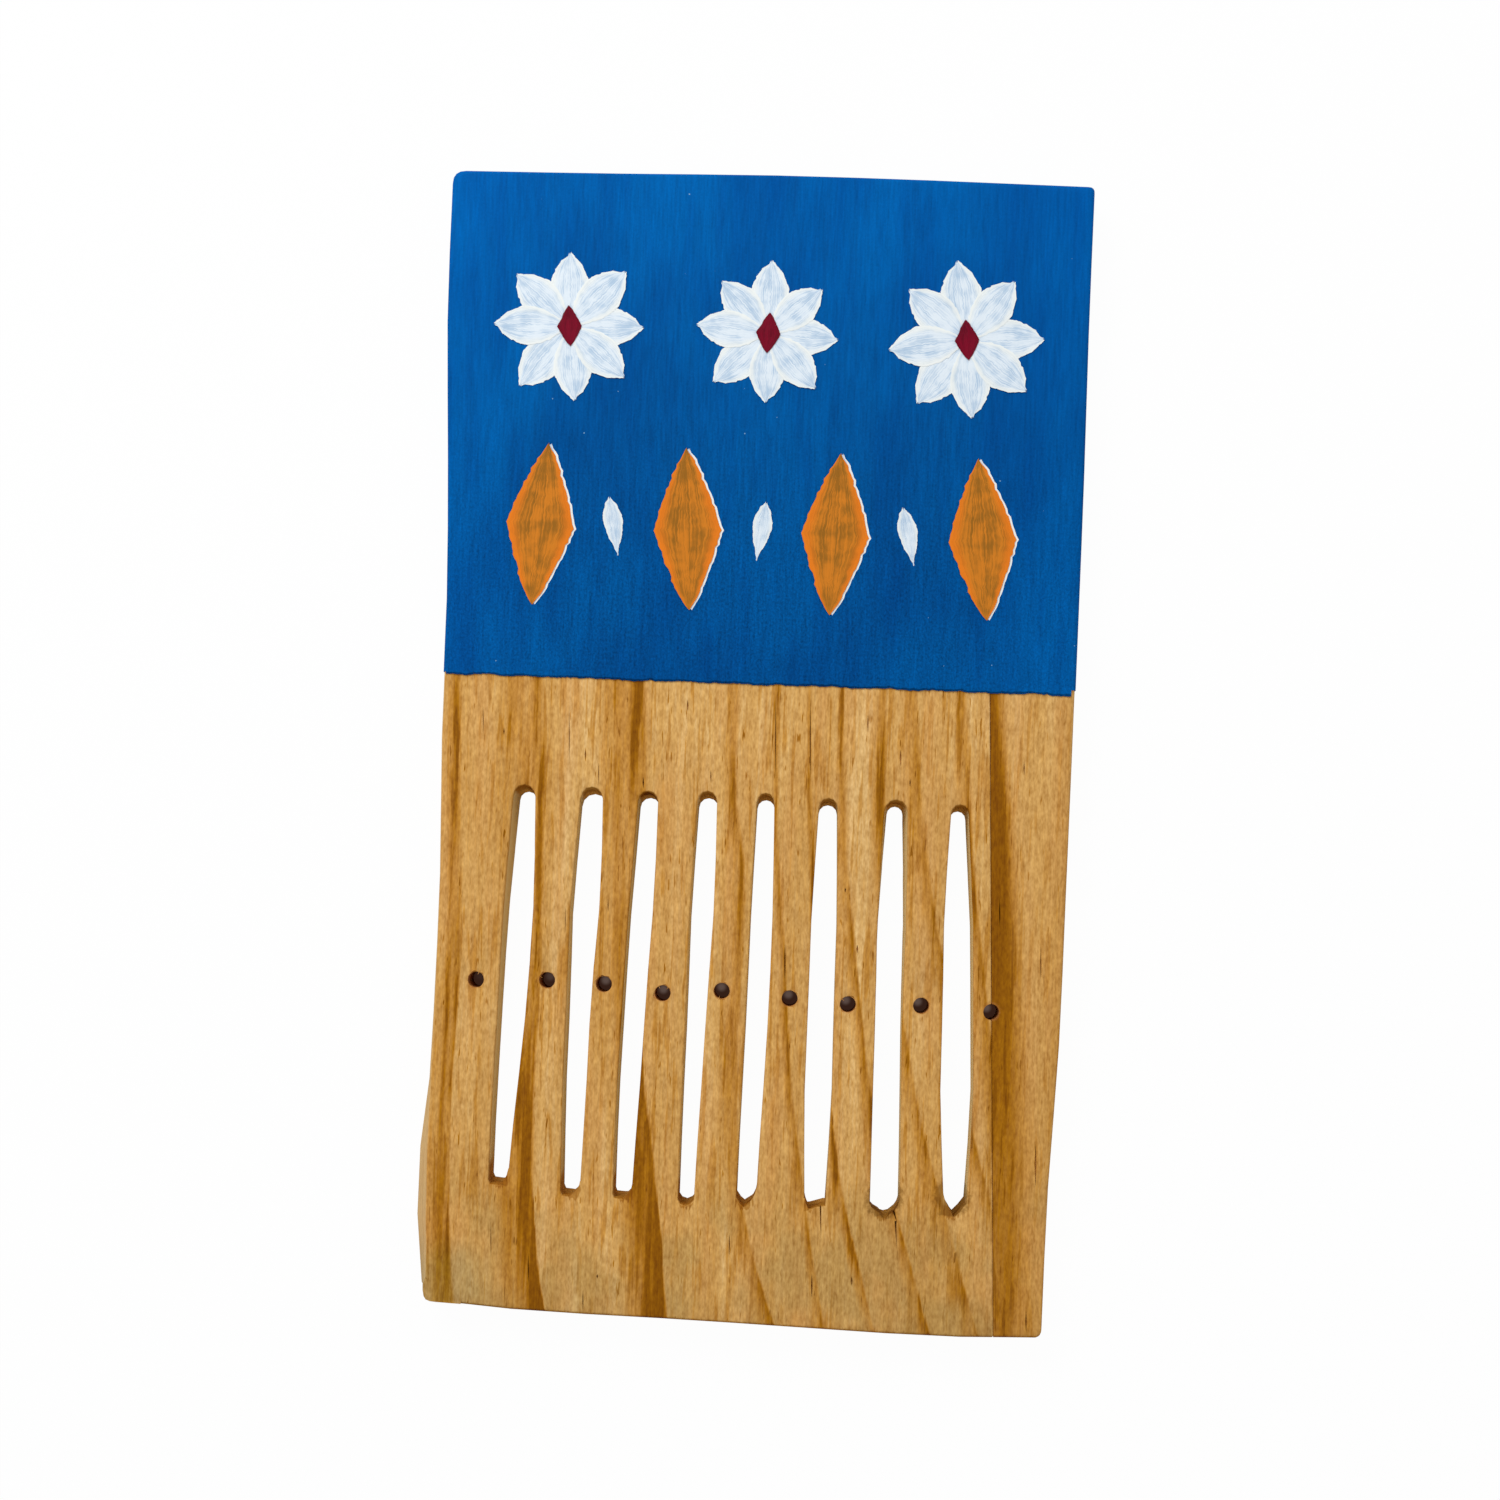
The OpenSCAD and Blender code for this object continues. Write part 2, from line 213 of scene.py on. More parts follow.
def new_group(name, inputs, outputs):
    """A shader node group with its named sockets."""
    group = bpy.data.node_groups.new(name, "ShaderNodeTree")
    for label, kind in inputs:
        group.interface.new_socket(label, in_out="INPUT", socket_type=kind)
    for label, kind in outputs:
        group.interface.new_socket(label, in_out="OUTPUT", socket_type=kind)
    return group, add_node(group, "NodeGroupInput").outputs, add_node(group, "NodeGroupOutput")


def use_group(tree, group, inputs):
    """Places a group in a material with its own values."""
    made = add_node(tree, "ShaderNodeGroup", node_tree=group)
    for key, value in inputs.items():
        if isinstance(value, bpy.types.NodeSocket):
            tree.links.new(value, made.inputs[key])
        else:
            made.inputs[key].default_value = value
    return made.outputs


def new_material(name):
    """A material with an empty tree, its shader and the object's own place in millimetres."""
    material = bpy.data.materials.new(name)
    material.use_nodes = True
    tree = material.node_tree
    shader = tree.nodes["Principled BSDF"]
    place = add_node(tree, "ShaderNodeTexCoord").outputs["Object"]
    in_mm = add_node(tree, "ShaderNodeVectorMath", {0: place, "Scale": 1000.0},
                     operation="SCALE").outputs[0]
    return material, tree, shader, in_mm


# A growth ring darkens slowly from left to right and stops at a sharp edge, the winter line.
FLOAT, VECTOR = "NodeSocketFloat", "NodeSocketVector"
ring_band, given, out = new_group(
    "growth ring",
    [("Across", FLOAT), ("Winter line", FLOAT), ("Width", FLOAT), ("Fullness", FLOAT),
     ("Softness", FLOAT), ("Strength", FLOAT)],
    [("Darkness", FLOAT)])
depth = calc(ring_band, "SUBTRACT", given["Winter line"], given["Across"])
share = calc(ring_band, "DIVIDE", depth, given["Width"])
slow = add_node(ring_band, "ShaderNodeMapRange",
                {"Value": share, "To Min": 1.0, "To Max": 0.0}).outputs["Result"]
build = calc(ring_band, "POWER", slow, given["Fullness"])
edge = ease(ring_band, depth, calc(ring_band, "MULTIPLY", given["Softness"], -1.0),
            given["Softness"])
ring_band.links.new(calc(ring_band, "MULTIPLY", calc(ring_band, "MULTIPLY", build, edge),
                         given["Strength"]), out.inputs["Darkness"])

# Fibres run up the wood: broad and fine streaks, hairline pores, and short dark resin ducts.
wood_fibres, given, out = new_group(
    "wood fibres", [("Place", VECTOR)],
    [("Streaks", FLOAT), ("Broad streaks", FLOAT), ("Hairlines", FLOAT), ("Ducts", FLOAT),
     ("Speckle", FLOAT)])
fine = stretched_noise(wood_fibres, given["Place"], (3.4, 0.22, 3.4), 0.6, 0.6)
broad = stretched_noise(wood_fibres, given["Place"], (0.55, 0.02, 0.55), 2.0)
hair = stretched_noise(wood_fibres, given["Place"], (0.9, 0.03, 0.9), 2.0)
hair = calc(wood_fibres, "ABSOLUTE", calc(wood_fibres, "SUBTRACT", hair, 0.5))
patchy = stretched_noise(wood_fibres, given["Place"], (0.8, 0.08, 0.8), 2.0)
duct = stretched_noise(wood_fibres, given["Place"], (3.0, 0.3, 3.0), 1.0)
speckle = stretched_noise(wood_fibres, given["Place"], (2.4, 0.9, 2.4), 1.0, 0.7)
wood_fibres.links.new(fine, out.inputs["Streaks"])
wood_fibres.links.new(broad, out.inputs["Broad streaks"])
wood_fibres.links.new(calc(wood_fibres, "MULTIPLY", ease(wood_fibres, hair, 0.09, 0.03),
                           ease(wood_fibres, patchy, 0.5, 0.6)), out.inputs["Hairlines"])
wood_fibres.links.new(ease(wood_fibres, duct, 0.70, 0.76), out.inputs["Ducts"])
wood_fibres.links.new(speckle, out.inputs["Speckle"])

ring_lean = 0.9
board_reach = 90.0
pale_wood = (0.76, 0.48, 0.19, 1)
early_wood = (0.64, 0.36, 0.11, 1)
mid_wood = (0.52, 0.24, 0.042, 1)
late_wood = (0.37, 0.14, 0.003, 1)
winter_wood = (0.25, 0.085, 0.001, 1)
grey_stain = (0.40, 0.245, 0.075, 1)
warm_wood = (0.60, 0.29, 0.085, 1)
end_grain_and_shade = (0.56, 0.42, 0.12, 1)
deep_wall_painted_light = (0.80, 0.44, 0.10, 1)
torn_edge_and_shade = (0.64, 0.48, 0.20, 1)
sawn_wall_tone_and_light = (0.76, 0.57, 0.26, 1)
outer_side_highlight = (0.64, 0.47, 0.25, 1)
foot_darkening = (0.60, 0.56, 0.46, 1)
eye_painted_shade = (0.48, 0.20, 0.06, 1)


def winter_line(tree, along, points):
    """Where a ring ends across the board, in mm, from the heights and places of its points."""
    curve = add_node(tree, "ShaderNodeFloatCurve", {"Factor": 1.0, "Value": along})
    line = curve.mapping.curves[0]
    while len(line.points) < len(points):
        line.points.new(0.5, 0.5)
    for knot, (y, x) in zip(line.points, sorted(points)):
        knot.location = ((y + board_reach) / (2 * board_reach), (x + 50) / 100)
    curve.mapping.update()
    return calc(tree, "SUBTRACT", calc(tree, "MULTIPLY", curve.outputs[0], 100.0), 50.0)


def nearest_distance(tree, in_mm, centres):
    """How far a place is, seen from the front, from the nearest of some centres, in mm."""
    flat = add_node(tree, "ShaderNodeVectorMath", {0: in_mm, 1: (1, 1, 0)},
                    operation="MULTIPLY").outputs[0]
    nearest = 100.0
    for x, y in centres:
        away = add_node(tree, "ShaderNodeVectorMath", {0: flat, 1: (x, y, 0)},
                        operation="DISTANCE").outputs["Value"]
        nearest = calc(tree, "MINIMUM", away, nearest)
    return nearest


def wood_material(name, rings, extra_shade=None, darkened_feet=()):
    """Oiled softwood with its rings: (points, widths, fullness, strengths at top and foot) each."""
    material, tree, shader, in_mm = new_material(name)
    in_board = add_node(tree, "ShaderNodeVectorMath",
                        {0: in_mm, 1: (*(board_middle / MM), 0)}, operation="SUBTRACT").outputs[0]
    axes = add_node(tree, "ShaderNodeSeparateXYZ", {0: in_board}).outputs
    along = add_node(tree, "ShaderNodeMapRange",
                     {"Value": axes["Y"], "From Min": -board_reach,
                      "From Max": board_reach}).outputs["Result"]
    depth_shift = calc(tree, "MULTIPLY", calc(tree, "SUBTRACT", axes["Z"], 6.5), ring_lean)
    slow_wander = stretched_noise(tree, in_mm, (0.12, 0.05, 0.12), 1.0)
    quick_wander = stretched_noise(tree, in_mm, (2.2, 0.2, 2.2), 2.0)
    wander = calc(tree, "ADD", calc(tree, "MULTIPLY", slow_wander, 0.8),
                  calc(tree, "MULTIPLY", quick_wander, 0.5))
    across = calc(tree, "ADD", calc(tree, "ADD", axes["X"], depth_shift),
                  calc(tree, "SUBTRACT", wander, 0.65))
    softness = ease(tree, axes["Y"], 0.0, -40.0, 0.5, 0.28)
    broken = ease(tree, stretched_noise(tree, in_mm, (0.8, 0.04, 0.8), 2.0), 0.3, 0.7, 0.5, 1.4)
    darkness = None
    for points, widths, fullness, strengths in rings:
        width = ease(tree, axes["Y"], 10.0, -80.0, *widths)
        strength = calc(tree, "MULTIPLY", broken, ease(tree, axes["Y"], -20.0, -75.0, *strengths))
        band = use_group(tree, ring_band,
                         {"Across": across, "Winter line": winter_line(tree, along, points),
                          "Width": width, "Fullness": fullness, "Softness": softness,
                          "Strength": strength})["Darkness"]
        darkness = band if darkness is None else calc(tree, "MAXIMUM", darkness, band)
    if extra_shade:
        darkness = calc(tree, "MAXIMUM", darkness, extra_shade(tree, across, along, axes))
    fibres = use_group(tree, wood_fibres, {"Place": in_mm})
    streaked = darkness
    even_side = ease(tree, axes["X"], 40.0, 45.0, 1.0, 0.55)
    for grain, middle, weight in (("Streaks", 0.5, 0.35), ("Broad streaks", 0.5, 0.6),
                                  ("Hairlines", 0.0, 0.3), ("Ducts", 0.0, 0.6)):
        part = calc(tree, "MULTIPLY", calc(tree, "SUBTRACT", fibres[grain], middle), weight)
        streaked = calc(tree, "ADD", streaked, calc(tree, "MULTIPLY", part, even_side))
    # The wood is drawn a little darker below the top, more so towards the lower right and along both
    # sides.
    darker_tone = calc(tree, "MULTIPLY", ease(tree, axes["Y"], -45.0, -85.0),
                   ease(tree, axes["X"], -20.0, 45.0, 0.03, 0.12))
    darker_tone = calc(tree, "ADD", darker_tone, ease(tree, axes["Y"], -10.0, 5.0, 0.14, 0.11))
    darker_tone = calc(tree, "ADD", darker_tone, ease(tree, axes["X"], -24.0, -42.0, 0.0, 0.05))
    darker_tone = calc(tree, "ADD", darker_tone, ease(tree, axes["X"], 39.5, 44.0, 0.0, 0.06))
    streaked = calc(tree, "ADD", streaked, darker_tone, True)
    ramp = add_node(tree, "ShaderNodeValToRGB", {0: streaked})
    stops = ramp.color_ramp.elements
    stops[0].color, stops[1].color = pale_wood, winter_wood
    stops.new(0.12).color = early_wood
    stops.new(0.45).color = mid_wood
    stops.new(0.78).color = late_wood
    colour = ramp.outputs[0]
    warm = ease(tree, stretched_noise(tree, in_mm, (0.3, 0.03, 0.3), 3.0), 0.42, 0.68, 0.0, 0.4)
    pale = calc(tree, "SUBTRACT", 1.0, calc(tree, "MULTIPLY", darkness, 1.4), True)
    colour = tint(tree, calc(tree, "MULTIPLY", warm, pale), colour, warm_wood)
    stain = ease(tree, stretched_noise(tree, in_mm, (0.09, 0.07, 0.09), 3.0), 0.42, 0.62)
    stain = calc(tree, "MULTIPLY", stain, calc(tree, "SUBTRACT", 0.5, darkness, True))
    stain = calc(tree, "MULTIPLY", stain, ease(tree, axes["Y"], -60.0, -80.0))
    colour = tint(tree, stain, colour, grey_stain)
    corner_stain = ease(tree, nearest_distance(tree, in_board, [(-45.0, -85.0)]), 9.0, 3.0)
    colour = tint(tree, corner_stain, colour, (0.85, 1.0, 1.25, 1), "MULTIPLY")
    weave = calc(tree, "ADD", fibres["Speckle"], calc(tree, "MULTIPLY", fibres["Streaks"], 0.7))
    weave = calc(tree, "ADD", weave, 0.15)
    red_weave = calc(tree, "ADD", calc(tree, "MULTIPLY", weave, 0.75), 0.25)
    blue_weave = calc(tree, "SUBTRACT", calc(tree, "MULTIPLY", weave, 1.4), 0.4)
    weave = add_node(tree, "ShaderNodeCombineXYZ",
                     {0: red_weave, 1: weave, 2: blue_weave}).outputs[0]
    colour = tint(tree, 1.0, colour, weave, "MULTIPLY")
    facing = add_node(tree, "ShaderNodeTexCoord").outputs["Normal"]
    facing = add_node(tree, "ShaderNodeSeparateXYZ", {0: facing}).outputs
    near_foot = ease(tree, nearest_distance(tree, in_board, slot_feet), 3.4, 2.2)
    # End grain is darker in itself, and the end walls of the slots are drawn darker still as painted
    # shade; the walls just under the face near each foot get the same painted shade.
    end_grain_and_recess = ease(tree, calc(tree, "ABSOLUTE", facing["Y"]), 0.3, 0.75)
    end_grain_and_recess = calc(tree, "MAXIMUM", end_grain_and_recess,
                     calc(tree, "MULTIPLY", near_foot, ease(tree, axes["Z"], 6.45, 6.15, 0.0, 0.7)))
    colour = tint(tree, calc(tree, "MULTIPLY", end_grain_and_recess, 0.9), colour, end_grain_and_shade, "MULTIPLY")
    # The lower part of the end walls is drawn paler, as painted light standing in for light thrown up
    # from the table.
    deep_wall_lift = calc(tree, "MULTIPLY", end_grain_and_recess, ease(tree, axes["Z"], 4.5, 1.0, 0.0, 0.8))
    colour = tint(tree, deep_wall_lift, colour, deep_wall_painted_light)
    # The side walls of the slots, away from the feet, are drawn paler and duller than the face: partly
    # the sawn wood's own tone, partly painted light where the walls lie in shade.
    sawn = calc(tree, "MULTIPLY", ease(tree, calc(tree, "ABSOLUTE", facing["X"]), 0.8, 0.97),
                ease(tree, axes["Z"], 6.0, 5.4, 0.0, 0.85))
    inside = ease(tree, calc(tree, "ABSOLUTE", axes["X"]), 42.0, 41.0)
    sawn = calc(tree, "MULTIPLY", sawn, calc(tree, "SUBTRACT", inside, near_foot, True))
    colour = tint(tree, sawn, colour, sawn_wall_tone_and_light)
    # The board's left side is drawn paler, as a painted highlight on the side that faces the light.
    outer_side = calc(tree, "MULTIPLY", ease(tree, facing["X"], -0.6, -0.85, 0.0, 0.5),
                      ease(tree, axes["X"], -42.0, -43.0))
    colour = tint(tree, outer_side, colour, outer_side_highlight)
    # On the face just at each foot, a ragged band is drawn browner: partly torn fibres, partly painted
    # shade carried out from the end wall.
    torn = calc(tree, "MULTIPLY", calc(tree, "SUBTRACT", fibres["Streaks"], 0.5), 1.8)
    below_feet = [(x, y - 0.5) for x, y in slot_feet]
    torn = calc(tree, "ADD", torn, nearest_distance(tree, in_board, below_feet))
    torn = calc(tree, "MULTIPLY", ease(tree, torn, 1.4, 1.15),
                ease(tree, axes["Z"], 6.4, 6.5, 0.0, 0.85))
    colour = tint(tree, torn, colour, torn_edge_and_shade, "MULTIPLY")
    rim_noise = calc(tree, "SUBTRACT", stretched_noise(tree, in_mm, (1.2, 1.2, 0.4), 2.0), 0.5)
    # Round the feet of the last two slots the face is drawn darker and greyer.
    if darkened_feet:
        from_foot = calc(tree, "ADD", calc(tree, "MULTIPLY", rim_noise, 3.0),
                         nearest_distance(tree, in_board, darkened_feet))
        colour = tint(tree, ease(tree, from_foot, 3.4, 2.4), colour, foot_darkening, "MULTIPLY")
    # In each eye the walls, and faintly a rim on the face, are drawn a dark red brown as painted shade in
    # the hole.
    from_eye = nearest_distance(tree, in_mm, eye_centres)
    from_eye = calc(tree, "ADD", from_eye, rim_noise)
    drilled = calc(tree, "MULTIPLY", ease(tree, from_eye, 1.6, 1.3),
                   ease(tree, axes["Z"], 6.45, 6.15, 0.25, 1.0))
    colour = tint(tree, drilled, colour, eye_painted_shade)
    tree.links.new(colour, shader.inputs["Base Color"])
    grain = calc(tree, "ADD", fibres["Streaks"], calc(tree, "MULTIPLY", darkness, 0.6))
    bump = add_node(tree, "ShaderNodeBump",
                    {"Height": grain, "Strength": 0.5, "Distance": 0.05 * MM}).outputs[0]
    tree.links.new(bump, shader.inputs["Normal"])
    upright = ease(tree, calc(tree, "ABSOLUTE", facing["Z"]), 0.7, 0.3, 0.0, 0.45)
    tree.links.new(calc(tree, "ADD", ease(tree, fibres["Streaks"], 0.2, 0.8, 0.50, 0.62), upright),
                   shader.inputs["Roughness"])
    shader.inputs["Specular IOR Level"].default_value = 0.06
    return material


# Heights and places across the board, in mm, of the winter line of each ring at the front.
board_rings = [
    ([(90, -47), (10, -46.3), (2, -46), (-18, -45), (-35, -44.5), (-55, -45.2), (-81, -44.5),
      (-88, -43.7)], (1.8, 4.0), 0.5, (0.55, 0.6)),
    ([(90, -36), (10, -33.2), (-4, -32.7), (-30, -32), (-62, -32.3), (-75, -31.5),
      (-88, -29.5)], (7.5, 6.5), 0.9, (0.5, 1.0)),
    ([(90, -21), (10, -17.4), (-5, -16.6), (-50, -15.5), (-61, -14), (-75, -12),
      (-88, -10.5)], (7.5, 7.0), 1.1, (0.85, 1.08)),
    ([(90, -5), (10, -2.6), (-7, -2.6), (-18, -0.9), (-48, -0.8), (-61, -0.2), (-70, 0.8),
      (-88, 5.8)], (2.2, 3.6), 1.4, (0.7, 0.6)),
    ([(90, 1), (10, 3.5), (-11, 4.2), (-33, 6.2), (-55, 8.2), (-72, 11), (-88, 13.8)],
     (0.8, 1.6), 1.0, (0.75, 0.55)),
    ([(90, 6), (10, 8.3), (-20, 10.2), (-40, 12.3), (-66, 15.7), (-78, 18.7), (-88, 21.5)],
     (0.6, 1.8), 1.0, (0.8, 0.75)),
    ([(90, 12), (10, 13.8), (-11, 14.7), (-41, 18.4), (-60, 21.7), (-70, 24.5), (-88, 30)],
     (1.4, 2.6), 1.2, (0.6, 0.62)),
    ([(90, 18), (10, 20.3), (-5, 20.5), (-35, 23.9), (-55, 27.7), (-69, 31.8), (-88, 37.7)],
     (2.4, 3.4), 1.2, (0.55, 0.35)),
    ([(90, 22), (10, 25.2), (-16, 27.7), (-35, 31.5), (-58, 36.3), (-70, 39.6), (-88, 44)],
     (2.8, 2.2), 1.2, (0.7, 0.45)),
    ([(90, 30), (10, 33.1), (-11, 34.3), (-25, 36), (-40, 38.2), (-60, 41), (-88, 46)],
     (2.4, 3.0), 1.0, (0.65, 0.5)),
]

eye_places = [Vector(mount["pos_m"][:2]) for mount in frame["record"]["mounts"]
              if mount["name"].startswith("warp_eye")]
eye_centres = [(eye.x / MM, eye.y / MM) for eye in eye_places]
board = blank_from("main_board", "heddle_board")
slot_field = {"left": -41 * MM, "right": 36.6 * MM, "low": -76 * MM, "high": -4 * MM}


def on_slot(point):
    """Whether a corner lies on the front edge of a slot, away from the eyes."""
    return (abs(point.z - face_height) < 0.01 * MM
            and slot_field["left"] < point.x < slot_field["right"]
            and slot_field["low"] < point.y < slot_field["high"]
            and all((point.xy - eye).length > 1.4 * MM for eye in eye_places))


# Where splinters stand into each eye at the front, as angles in degrees from the right.
eye_splinters = [(70,), (155,), (), (48, 120), (250,), (), (140,), ()]
# Wood left in the rounded lower corners of some slots and of the board, as outlines in mm.
left_standing = [
    [(-35.6, -66.4), (-35.88, -66.6), (-36.1, -67.6), (-36.4, -68.3), (-36.9, -69), (-35.6, -69.4)],
    [(-24.3, -68), (-24.65, -68.2), (-24.75, -68.8), (-25.05, -69.4), (-25.6, -70), (-26.3, -70.7),
     (-24.3, -70.8)],
    [(-16.2, -68.2), (-16.5, -68.4), (-16.6, -69), (-16.85, -69.6), (-17.3, -70.1), (-17.9, -70.7),
     (-16.2, -70.8)],
    [(3.2, -68), (2.9, -68.2), (2.75, -69.1), (2.4, -69.9), (1.8, -70.7), (1.2, -71.3), (3.2, -71.3)],
    [(10.2, -69.5), (10.5, -69.6), (10.65, -70.2), (10.85, -70.7), (11.2, -71.3), (10.2, -71.5)],
    [(20.4, -70), (20.72, -70.1), (20.9, -70.5), (21.36, -70.95), (22.18, -71.4), (22.95, -72.3),
     (20.4, -72.3)],
    [(25.6, -69.3), (25.3, -69.4), (25.05, -70.25), (24.65, -70.87), (23.85, -71.55), (23.1, -72.4),
     (25.6, -72.4)],
    [(31.6, -67.3), (32, -67.5), (32.15, -68.3), (32.38, -69.05), (32.8, -69.85), (33.3, -70.6),
     (33.8, -71.9), (31.6, -71.9)],
    [(-45.8, -85.9), (-48.25, -84.1), (-48.6, -85.1), (-48.57, -86.0), (-48.38, -86.95), (-48.05, -87.47),
     (-47.34, -87.73), (-46.4, -87.81), (-44.52, -87.9), (-42.6, -87.98), (-42.4, -87.0)]]

# Resin ducts that the planing opened: place across and along the board, length, width, in mm.
duct_depth = 0.45
board_ducts = [
    (-39.0, 1.5, 1.4, 0.25), (-26.2, -1.6, 2.0, 0.25), (-28.8, 1.3, 10.9, 0.15),
    (-42.3, 3.2, 5.0, 0.15), (-24.0, -4.5, 4.2, 0.18), (-10.5, 6.6, 2.3, 0.28),
    (-6.5, -4.3, 2.5, 0.22), (3.4, 1.9, 14.7, 0.2), (8.8, 2.1, 15.1, 0.22),
    (-17.0, -5.7, 2.2, 0.3), (17.7, 4.8, 3.0, 0.25), (23.0, -0.4, 3.1, 0.4),
    (24.6, -4.2, 1.6, 0.25), (6.1, -33.0, 7.2, 0.28), (-28.4, -27.5, 5.1, 0.15),
    (-21.8, -25.0, 2.5, 0.2), (17.3, -30.4, 1.6, 0.35), (15.1, -21.3, 0.9, 0.3),
    (-21.4, -82.9, 0.8, 0.35), (-23.5, -86.9, 4.2, 0.2), (-32.2, -82.1, 5.9, 0.22),
    (-38.2, -77.8, 6.6, 0.15), (18.3, -82.2, 1.6, 0.4), (-1.0, -77.2, 4.2, 0.22),
    (12.1, -83.2, 4.4, 0.35)]

sand_edges(board, 0.3 * MM, on_slot)
for eye, splinters in zip(eye_places, eye_splinters):
    bpy.ops.mesh.primitive_cone_add(vertices=40, radius1=1.1 * MM, radius2=1.6 * MM,
                                    depth=0.4 * MM, location=(*eye, face_height))
    break_in = bpy.context.object
    for point in break_in.data.vertices:
        ragged = noise.noise((point.co + break_in.location) / (0.5 * MM))
        point.co.xy += point.co.xy.normalized() * 0.4 * MM * ragged
    work_with(board, break_in, "DIFFERENCE")
    for splinter in splinters:
        out = Vector((math.cos(math.radians(splinter)), math.sin(math.radians(splinter)), 0))
        bpy.ops.mesh.primitive_cone_add(vertices=6, radius1=0.14 * MM, depth=0.9 * MM,
                                        location=(*(eye + out.xy * 1.2 * MM), 6.35 * MM),
                                        rotation=(-out).to_track_quat("Z", "Y").to_euler())
        work_with(board, bpy.context.object, "UNION")
for outline in left_standing:
    fill_corner(board, outline)
open_ducts(board, board_ducts)
split_open(board, (12.2, -70.6), (12.9, -76.8), 1.7, 0.35)
split_open(board, (13.0, -70.6), (13.3, -76.4), 0.3, 0.9)
split_open(board, (24.4, -71.0), (25.1, -73.0), 0.4, 1.2)
split_open(board, (24.8, -72.6), (25.1, -76.8), 0.35, 1.2)
bpy.ops.object.shade_smooth_by_angle(angle=math.radians(35))
darkened_foot_places = [(x, y + 1.6) for x, y in slot_feet[6:]]
board.data.materials.append(wood_material("board_wood", board_rings, darkened_feet=darkened_foot_places))
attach(board, "root")
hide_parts("main_board")


# ---- Glued strip ----
# A narrower length of the same wood, glued along the board's right side. It is darkest at the
# glue line, where its own late wood was cut through, and pales towards the outer edge.
glue_line = [(90, 33), (10, 36.3), (-11, 37.7), (-35, 38.3), (-58, 39.5), (-71, 39.8),
             (-90, 40.3)]


def glue_side_shade(tree, across, along, axes):
    """The strip's own late wood, which the glue line cuts through."""
    away = calc(tree, "SUBTRACT", axes["X"], winter_line(tree, along, glue_line))
    width = ease(tree, axes["Y"], 5.0, -45.0, 3.2, 7.0)
    near = ease(tree, calc(tree, "DIVIDE", away, width), 0.2, 1.0, 1.0, 0.0)
    return calc(tree, "MULTIPLY", near, ease(tree, axes["Y"], 0.0, -85.0, 1.0, 0.5))


strip = blank_from("side_strip", "glued_strip")
open_ducts(strip, [(42.3, -1.3, 2.7, 0.25), (46.0, -31.6, 7.2, 0.22), (39.3, -23.9, 5.5, 0.25),
                   (46.3, -63.1, 7.8, 0.4), (45.7, -87.5, 4.1, 0.3)])
bpy.ops.object.shade_smooth_by_angle(angle=math.radians(35))
strip.data.materials.append(
    wood_material("strip_wood", [([(90, 49), (-90, 51)], (2.0, 2.0), 1.0, (0.2, 0.2))],
                  glue_side_shade))
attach(strip, "root")
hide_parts("side_strip")


def roughen(piece, axis, strength, size, group=""):
    """Pushes a piece's points about along one axis, as cloudy noise of that size says."""
    cloud = bpy.data.textures.new("cloud", "CLOUDS")
    cloud.noise_scale = size
    cloud.noise_depth = 2
    push = piece.modifiers.new("roughen", "DISPLACE")
    push.texture = cloud
    push.direction = axis
    push.texture_coords = "LOCAL"
    push.strength = strength
    push.vertex_group = group
    bpy.ops.object.modifier_apply(modifier=push.name)


# ---- Blue coat ----
# Matt blue paint, brushed lengthwise over the upper end in a thin coat that lets the wood's
# grain through. Its lower border is a ragged ridge where the brush was lifted.
paint_bottom_left = Vector((-48.38, 10.34)) * MM + board_middle
paint_bottom_right = Vector((49.22, 11.19)) * MM + board_middle
coat_height = 6.65 * MM
ridge_width = 1.5 * MM

coat = blank_from("blue_coat", "coat_body")
for point in coat.data.vertices:
    if point.co.y < 12 * MM:
        point.co.y += 0.5 * MM
bpy.ops.mesh.primitive_grid_add(x_subdivisions=600, y_subdivisions=7, size=1,
                                location=(0, 0, coat_height))
ridge = bpy.context.object
ridge.name = "coat_ridge"
at_border = ridge.data.attributes.new("at_border", "FLOAT", "POINT")
for point in ridge.data.vertices:
    at_border.data[point.index].value = 1.0 if point.co.y < -0.3 else 0.0
border = paint_bottom_right - paint_bottom_left
bpy.ops.object.mode_set(mode="EDIT")
bpy.ops.transform.resize(value=(border.length, ridge_width, 1))
bpy.ops.transform.translate(value=(0, 0, -0.1 * MM))
bpy.ops.mesh.select_less()
bpy.ops.transform.translate(value=(0, 0, 0.14 * MM))
bpy.ops.mesh.select_all(action="SELECT")
bpy.ops.mesh.select_mode(type="EDGE")
bpy.ops.mesh.region_to_loop()
bpy.ops.mesh.extrude_region_move(TRANSFORM_OT_translate={"value": (0, 0, -0.1 * MM)})
bpy.ops.mesh.edge_face_add()
bpy.ops.mesh.select_all(action="SELECT")
bpy.ops.mesh.normals_make_consistent(inside=False)
bpy.ops.transform.translate(
    value=((paint_bottom_left.x + paint_bottom_right.x) / 2,
           (paint_bottom_left.y + paint_bottom_right.y) / 2 + 0.25 * MM, 0))
bpy.ops.object.mode_set(mode="OBJECT")
bpy.ops.object.transform_apply(location=True, rotation=True, scale=True)
roughen(ridge, "Y", 0.7 * MM, 2.2 * MM)
roughen(ridge, "Y", 0.25 * MM, 0.6 * MM)
bpy.ops.object.select_all(action="DESELECT")
ridge.select_set(True)
coat.select_set(True)
bpy.context.view_layer.objects.active = coat
bpy.ops.object.join()
coat.name = coat.data.name = "blue_paint"
bpy.ops.object.shade_smooth_by_angle(angle=math.radians(35))

